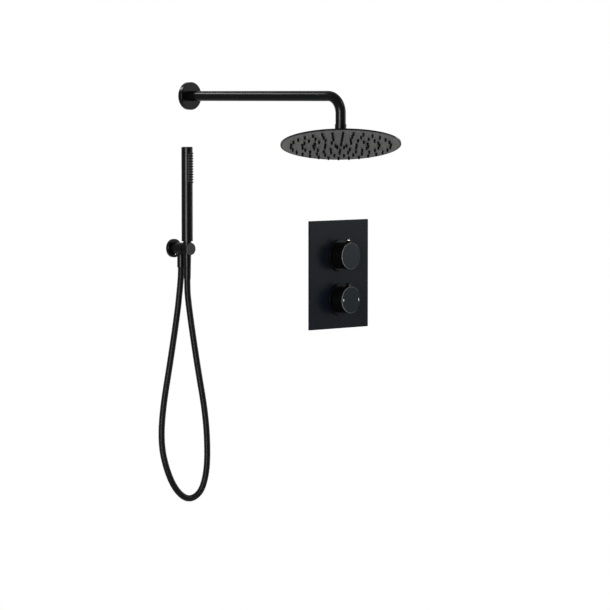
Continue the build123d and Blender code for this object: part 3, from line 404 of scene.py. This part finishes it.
hoseLine = smoothLine(hose["route"])
spacing = hose["ribPitch"] / hose["ringsPerRib"]
hoseSizes = {
    "Radius": ("NodeSocketFloat", hose["diameter"] / 2),
    "Rib depth": ("NodeSocketFloat", hose["ribDepth"]),
    "Ring spacing": ("NodeSocketFloat", spacing),
    "Rings per rib": ("NodeSocketFloat", float(hose["ringsPerRib"])),
    "Sides": ("NodeSocketInt", hose["sides"]),
    "Finish": ("NodeSocketMaterial", finishes["black_hose"]),
}
hoseTree, bench, size, hoseSockets = shapeTree("ribbed hose", hoseSizes)
line = bench.add("GeometryNodeMeshToCurve", {}, {0: size["Geometry"]})
line = bench.add("GeometryNodeResampleCurve", {"mode": "LENGTH"}, {
    "Curve": line, "Length": size["Ring spacing"]})
number = bench.add("GeometryNodeInputIndex")
swell = (number * math.pi / size["Rings per rib"]).sine().size() ** hose["ribFullness"]
line = bench.add("GeometryNodeSetCurveRadius", {}, {
    "Curve": line, "Radius": size["Radius"] - size["Rib depth"] * (1 - swell)})
ring = bench.add("GeometryNodeCurvePrimitiveCircle", {}, {"Resolution": size["Sides"], "Radius": 1.0})
radius = bench.add("GeometryNodeInputRadius")
tube = bench.add("GeometryNodeCurveToMesh", {}, {
    "Curve": line, "Profile Curve": ring, "Scale": radius, "Fill Caps": True})
closeShape(bench, tube, size["Finish"])

hosePiece = bpy.data.objects.new("ribbed_hose", bpy.data.meshes.new("ribbed_hose"))
edges = [(step, step + 1) for step in range(len(hoseLine) - 1)]
hosePiece.data.from_pydata([tuple(point) for point in hoseLine], edges, [])
scene.collection.objects.link(hosePiece)
grow(hosePiece, hoseTree, hoseSockets, hoseSizes)

# the hose is laid straight, ring by ring, and then put back where it hangs
hung = [vertex.co.copy() for vertex in hosePiece.data.vertices]
for index, vertex in enumerate(hosePiece.data.vertices):
    vertex.co = (index // hose["sides"] * spacing, 0, 0)
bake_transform(hosePiece)
for vertex, place in zip(hosePiece.data.vertices, hung):
    vertex.co = place
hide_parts("shower_hose")
print("hose:", len(hosePiece.data.polygons), "faces")


# Nozzle mat of the rain head, made in the head's own plane and then turned with it.
# A ring is its share of the head's radius and its number of nozzles; the outline is in mm

nozzle = {"headRadius": 0.125,
          "rings": ((0.828, 30), (0.64, 25), (0.456, 20), (0.272, 10), (0.096, 5)),
          "matRadius": 0.120, "matBack": 0.02205, "matFront": 0.02295, "matSides": 96, "sides": 12,
          "outline": ((0, 22.6), (2.34, 22.6), (2.42, 23.8), (2.55, 24.1), (2.5, 24.6), (2.36, 25.0),
                      (2.08, 29.3), (1.95, 29.95), (1.6, 30.4), (0.8, 30.35), (0.62, 29.5), (0, 29.4))}


def turned(name, outline, sides, scale=0.001):
    # a closed turned shape from its half outline, which starts and ends on the axis
    points, faces, rows = [], [], []
    for radius, height in outline:
        steps = sides if radius else 1
        rows.append([len(points) + step for step in range(steps)])
        for step in range(steps):
            angle = 2 * math.pi * step / steps
            points.append((radius * scale * math.cos(angle), radius * scale * math.sin(angle),
                           height * scale))
    for low, high in zip(rows, rows[1:]):
        for step in range(sides):
            after = (step + 1) % sides
            if len(low) == 1:
                faces.append((low[0], high[after], high[step]))
            elif len(high) == 1:
                faces.append((low[step], low[after], high[0]))
            else:
                faces.append((low[step], low[after], high[after], high[step]))
    return meshFrom(name, points, faces)


nozzleShape = turned("nozzle_shape", nozzle["outline"], nozzle["sides"])
nozzleSizes = {
    "Head radius": ("NodeSocketFloat", nozzle["headRadius"]),
    "Mat radius": ("NodeSocketFloat", nozzle["matRadius"]),
    "Mat thickness": ("NodeSocketFloat", nozzle["matFront"] - nozzle["matBack"]),
    "Mat place": ("NodeSocketFloat", (nozzle["matFront"] + nozzle["matBack"]) / 2),
    "Nozzle": ("NodeSocketObject", nozzleShape),
    "Finish": ("NodeSocketMaterial", finishes["black_silicone"]),
}
nozzleTree, bench, size, nozzleSockets = shapeTree("nozzle rings", nozzleSizes)
single = bench.add("GeometryNodeObjectInfo", {}, {"Object": size["Nozzle"]}, "Geometry")
rings = []
for share, count in nozzle["rings"]:
    circle = bench.add("GeometryNodeMeshCircle", {}, {
        "Vertices": count, "Radius": size["Head radius"] * share})
    circle = bench.add("GeometryNodeTransform", {}, {
        "Geometry": circle, "Rotation": (0, 0, math.pi / 2)})
    rings.append(bench.add("GeometryNodeInstanceOnPoints", {}, {"Points": circle, "Instance": single}))
disc = bench.add("GeometryNodeMeshCylinder", {}, {
    "Vertices": nozzle["matSides"], "Radius": size["Mat radius"], "Depth": size["Mat thickness"]})
place = bench.add("ShaderNodeCombineXYZ", {}, {"Z": size["Mat place"]})
disc = bench.add("GeometryNodeTransform", {}, {"Geometry": disc, "Translation": place})
joined = bench.add("GeometryNodeJoinGeometry", {}, {0: rings + [disc]})
closeShape(bench, joined, size["Finish"])

nozzleMat = meshFrom("nozzle_rings", [(0, 0, 0)], [])
grow(nozzleMat, nozzleTree, nozzleSockets, nozzleSizes)
bpy.data.objects.remove(nozzleShape)
tiltAxis = Vector((math.cos(lean), -math.sin(lean), 0))
headTurn = Matrix((tiltAxis, headDown.cross(tiltAxis), headDown)).transposed().to_4x4()
nozzleMat.data.transform(Matrix.Translation(head["centre"]) @ headTurn)
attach(nozzleMat, "rain_head")
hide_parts("nozzle_mat")
print("nozzles:", sum(count for share, count in nozzle["rings"]))


# Jet pad of the handset, with long and short rows by turns; the outline is in mm

jet = {"centre": (-0.049, -0.0479, -0.154), "rowPitch": 0.00563, "rowHalf": 0.00455, "rowPairs": 6,
       "inRow": (4, 3), "padLength": 0.069, "padWidth": 0.013, "padBack": 0.0080, "padFront": 0.0092,
       "endSides": 24,
       "outline": ((0, 8.6), (0.85, 8.6), (0.85, 10.9), (1.3, 10.95), (1.3, 13.7), (1.18, 14.4),
                   (0.75, 14.95), (0, 15.1)), "sides": 14}


def oblong(name, length, width, back, front, endSides):
    # a flat slab with round ends, long in Y and thick in Z
    reach, radius = (length - width) / 2, width / 2
    ring = []
    for end, start in ((1, 0.0), (-1, math.pi)):
        for step in range(endSides + 1):
            angle = start + math.pi * step / endSides
            ring.append((radius * math.cos(angle), end * reach + radius * math.sin(angle)))
    count = len(ring)
    points = [(x, y, back) for x, y in ring] + [(x, y, front) for x, y in ring]
    faces = [tuple(range(count - 1, -1, -1)), tuple(range(count, 2 * count))]
    for step in range(count):
        after = (step + 1) % count
        faces.append((step, after, count + after, count + step))
    return meshFrom(name, points, faces)


jetShape = turned("jet_shape", jet["outline"], jet["sides"])
jetSizes = {
    "Row pitch": ("NodeSocketFloat", jet["rowPitch"]),
    "Row width": ("NodeSocketFloat", 2 * jet["rowHalf"]),
    "Row pairs": ("NodeSocketInt", jet["rowPairs"]),
    "Jet": ("NodeSocketObject", jetShape),
    "Finish": ("NodeSocketMaterial", finishes["black_silicone"]),
}
jetTree, bench, size, jetSockets = shapeTree("jet rows", jetSizes)
single = bench.add("GeometryNodeObjectInfo", {}, {"Object": size["Jet"]}, "Geometry")
parts = [size["Geometry"]]
for columns, shift in zip(jet["inRow"], (-0.5, 0.5)):
    grid = bench.add("GeometryNodeMeshGrid", {}, {
        "Size X": size["Row width"], "Size Y": size["Row pitch"] * 2 * (size["Row pairs"] - 1),
        "Vertices X": columns, "Vertices Y": size["Row pairs"]})
    place = bench.add("ShaderNodeCombineXYZ", {}, {"Y": size["Row pitch"] * shift})
    grid = bench.add("GeometryNodeTransform", {}, {"Geometry": grid, "Translation": place})
    parts.append(bench.add("GeometryNodeInstanceOnPoints", {}, {"Points": grid, "Instance": single}))
joined = bench.add("GeometryNodeJoinGeometry", {}, {0: parts})
closeShape(bench, joined, size["Finish"])

jetPad = oblong("jet_pad", jet["padLength"], jet["padWidth"], jet["padBack"], jet["padFront"],
                jet["endSides"])
grow(jetPad, jetTree, jetSockets, jetSizes)
bpy.data.objects.remove(jetShape)
jetTurn = Matrix(((1, 0, 0), (0, 0, -1), (0, 1, 0))).to_4x4()
jetPad.data.transform(Matrix.Translation(jet["centre"]) @ jetTurn)
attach(jetPad, "handset")
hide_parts("nozzle_pad")
print("jets:", jet["rowPairs"] * sum(jet["inRow"]))


# Button springs: the solid's own coil, copied and carried with its knob

spring = {"side": 0.4615, "out": -0.0315, "length": 0.01241, "travel": 0.0020,
          "feet": {"temperature": -0.3505, "diverter": -0.4505}}
for name, foot in spring["feet"].items():
    coil = bpy.data.objects.new(name + "_coil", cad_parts[name + "_button_spring"].data.copy())
    scene.collection.objects.link(coil)
    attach(coil, name + "_knob")
    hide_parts(name + "_button_spring")
    name + "_button_press"
    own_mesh(coil)
print("springs:", len(spring["feet"]))


# Plain painted marks on the controls, sunk a little in their faces

marks = {"proud": 0.00012, "sunk": 0.0003, "rounding": 0.0001, "roundingSteps": 2,
         "diverterKnob": {"face": -0.045, "centre": (0.4615, -0.4625), "reach": 0.0245,
                          "size": (0.0010, 0.006)},
         "dash": {"face": -0.0405, "side": 0.4570, "height": -0.3267, "thick": 0.0015,
                  "alongSide": 0.0032, "alongFace": 0.0042, "corner": 0.0004, "cornerSteps": 4},
         "grooves": {"face": -0.0405, "centre": (0.4615, -0.4292), "spread": 0.0026,
                     "size": (0.0006, 0.004)}}


def keepMark(piece, paint, body):
    # rounds the mark's edges and lets it ride with the control
    soften = piece.modifiers.new("rounding", "BEVEL")
    soften.width, soften.segments = marks["rounding"], marks["roundingSteps"]
    bpy.context.view_layer.update()
    evaluated = piece.evaluated_get(bpy.context.evaluated_depsgraph_get())
    mesh = bpy.data.meshes.new_from_object(evaluated)
    piece.modifiers.clear()
    piece.data = mesh
    mesh.materials.append(paint)
    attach(piece, body)


def markBar(name, centre, size, face, paint, body):
    width, height = size[0] / 2, size[1] / 2
    front, back = face - marks["proud"], face + marks["sunk"]
    points = [(centre[0] + sx * width, y, centre[1] + sz * height)
              for y in (front, back) for sx, sz in ((-1, -1), (1, -1), (1, 1), (-1, 1))]
    faces = [(0, 1, 2, 3), (7, 6, 5, 4), (0, 4, 5, 1), (1, 5, 6, 2), (2, 6, 7, 3), (3, 7, 4, 0)]
    keepMark(meshFrom(name, points, faces), paint, body)


def markRound(name, dash, body):
    # a painted line that goes round the button's front left corner
    outer, inner = [], []
    middle = (dash["side"] + dash["corner"], dash["face"] + dash["corner"])
    for row, out in ((outer, marks["proud"]), (inner, -marks["sunk"])):
        reach = dash["corner"] + out
        row.append((dash["side"] - out, dash["face"] + dash["alongSide"]))
        for step in range(dash["cornerSteps"] + 1):
            angle = math.pi + step * math.pi / (2 * dash["cornerSteps"])
            row.append((middle[0] + reach * math.cos(angle), middle[1] + reach * math.sin(angle)))
        row.append((dash["side"] + dash["alongFace"], dash["face"] - out))
    low, high = dash["height"] - dash["thick"] / 2, dash["height"] + dash["thick"] / 2
    count = len(outer)
    points = [(x, y, z) for z in (low, high) for row in (outer, inner) for x, y in row]
    faces = []
    for step in range(count - 1):
        after = step + 1
        faces += [(step, after, 2 * count + after, 2 * count + step),
                  (count + after, count + step, 3 * count + step, 3 * count + after),
                  (after, step, count + step, count + after),
                  (2 * count + step, 2 * count + after, 3 * count + after, 3 * count + step)]
    last = count - 1
    faces += [(0, 2 * count, 3 * count, count), (last, count + last, 3 * count + last, 2 * count + last)]
    keepMark(meshFrom(name, points, faces), markPaint, body)


tick = marks["diverterKnob"]
for label, side in (("left", -1), ("right", 1)):
    markBar("diverter_tick_" + label, (tick["centre"][0] + side * tick["reach"], tick["centre"][1]),
            tick["size"], tick["face"], markPaint, "diverter_knob")
markRound("temperature_dash", marks["dash"], "temperature_button")
groove = marks["grooves"]
for label, side in (("left", -1), ("right", 1)):
    markBar("diverter_button_line_" + label,
            (groove["centre"][0] + side * groove["spread"], groove["centre"][1]),
            groove["size"], groove["face"], linePaint, "diverter_button")
print("marks painted")


# Wall, floor and light

stage = {"wall": (-1.6, 2.2, -2.1, -0.13), "wallColour": colour(0.9, 0.9, 0.9), "wallGlow": 1.0,
         "floor": -2.1, "floorReach": 14.0, "floorColour": colour(0.86, 0.86, 0.86), "floorGlow": 0.88,
         "mottleScale": 3.0, "mottleShare": 0.06, "mottleColour": colour(0.8, 0.8, 0.8),
         "worldLevel": 0.25}


def seenWhite(bench):
    # 1 for rays that look at the background itself, straight, mirrored or through glass
    paths = [bench.add("ShaderNodeLightPath", {}, {}, kind)
             for kind in ("Is Camera Ray", "Is Glossy Ray", "Is Transmission Ray")]
    return bench.add("ShaderNodeMath", {"operation": "ADD", "use_clamp": True}, {
        0: paths[0] + paths[1], 1: paths[2]})


def oneSided(name, shade, share):
    # pale in front and clear from behind, so that nothing hides the back of the set
    made, bench, where = finishBench(name)
    mottle = bench.noise(where, stage["mottleScale"]) * stage["mottleShare"]
    front = bench.add("ShaderNodeBsdfDiffuse", {}, {
        "Color": bench.blend(mottle, shade, stage["mottleColour"])})
    glow = bench.add("ShaderNodeEmission", {}, {"Color": colour(1, 1, 1), "Strength": 1.0})
    front = bench.add("ShaderNodeMixShader", {}, {0: seenWhite(bench) * share, 1: front, 2: glow})
    clear = bench.add("ShaderNodeBsdfTransparent")
    behind = bench.add("ShaderNodeNewGeometry", {}, {}, "Backfacing")
    closeFinish(bench, bench.add("ShaderNodeMixShader", {}, {0: behind, 1: front, 2: clear}))
    return made


left, right, low, high = stage["wall"]
wall = meshFrom("wall", [(left, 0, low), (right, 0, low), (right, 0, high), (left, 0, high)],
                [(0, 1, 2, 3)])
wall.data.materials.append(oneSided("white_wall", stage["wallColour"], stage["wallGlow"]))
reach, low = stage["floorReach"], stage["floor"]
floor = meshFrom("floor", [(-reach, -reach, low), (reach, -reach, low), (reach, reach, low),
                           (-reach, reach, low)], [(0, 1, 2, 3)])
floor.data.materials.append(oneSided("pale_floor", stage["floorColour"], stage["floorGlow"]))

world = bpy.data.worlds.new("studio")
scene.world = world
world.use_nodes = True
world.node_tree.nodes.clear()
bench = Bench(world.node_tree)
level = stage["worldLevel"]
sky = bench.blend(seenWhite(bench), colour(level, level, level), colour(1, 1, 1))
bench.add("ShaderNodeOutputWorld", {}, {"Surface": bench.add("ShaderNodeBackground", {}, {
    "Color": sky, "Strength": 1.0})})

lamps = {
    "key": {"azimuth": 38, "elevation": 42, "distance": 4.2, "size": (1.3, 1.3), "power": 64},
    "leftStrip": {"azimuth": -65, "elevation": 4, "distance": 3.4, "size": (1.7, 1.4), "power": 335},
    "faceSheen": {"azimuth": 46, "elevation": 6, "distance": 3.6, "size": (1.6, 1.3), "power": 28},
    "rightStrip": {"azimuth": 84, "elevation": 4, "distance": 3.4, "size": (0.4, 1.8), "power": 25},
    "backTop": {"azimuth": -158, "elevation": 40, "distance": 3.0, "size": (1.6, 0.35), "power": 60},
}
lampTarget = Vector((0.15, -0.1, -0.3))
for name, lamp in lamps.items():
    azimuth, elevation = math.radians(lamp["azimuth"]), math.radians(lamp["elevation"])
    out = Vector((math.sin(azimuth) * math.cos(elevation), -math.cos(azimuth) * math.cos(elevation),
                  math.sin(elevation)))
    data = bpy.data.lights.new(name, "AREA")
    data.shape = "RECTANGLE"
    data.size, data.size_y = lamp["size"]
    data.energy = lamp["power"]
    holder = bpy.data.objects.new(name, data)
    holder.location = lampTarget + out * lamp["distance"]
    holder.rotation_euler = (-out).to_track_quat("-Z", "Y").to_euler()
    holder.visible_camera = False
    scene.collection.objects.link(holder)
print("stage and lamps set")
